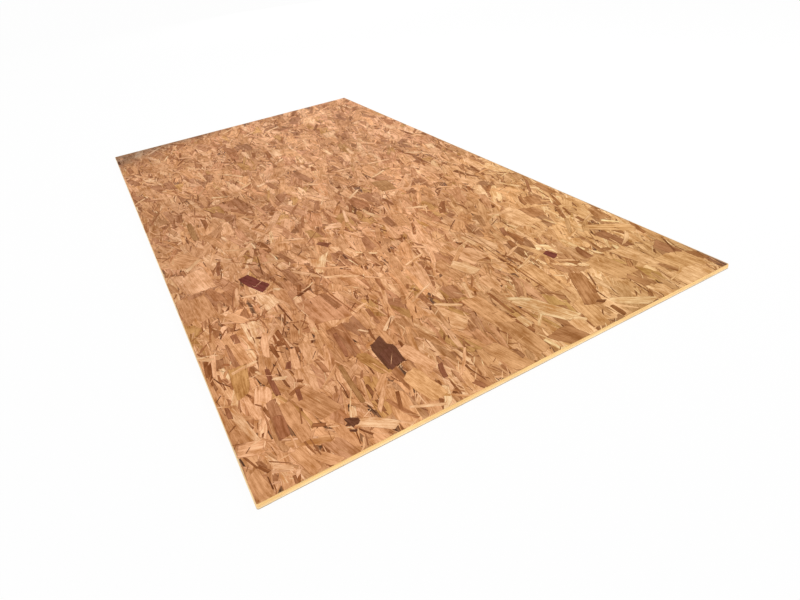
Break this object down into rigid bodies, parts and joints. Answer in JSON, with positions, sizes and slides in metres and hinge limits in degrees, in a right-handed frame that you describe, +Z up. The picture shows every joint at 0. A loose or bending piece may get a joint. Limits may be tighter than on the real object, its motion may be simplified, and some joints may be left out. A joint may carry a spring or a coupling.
{
  "type": "oriented strand board sheathing panel",
  "caption": "Flat rectangular sheet of oriented strand board with sealed sawn edges and worn corners, nailed over studs, rafters or joists as sheathing.",
  "frame": {"origin": "centre of the underside, which lies on the floor", "axes": "+X along the sheet's length and its face strands, +Y across its width, +Z up out of the upper face"},
  "size_m": [2.438, 1.219, 0.0119],
  "materials": {
    "strand_board": "pressed wood strands, satin, with pale yellow sealer on the sawn edges"
  },
  "bodies": {
    "root": {"strand_board": "strand_board"}
  },
  "joints": []
}
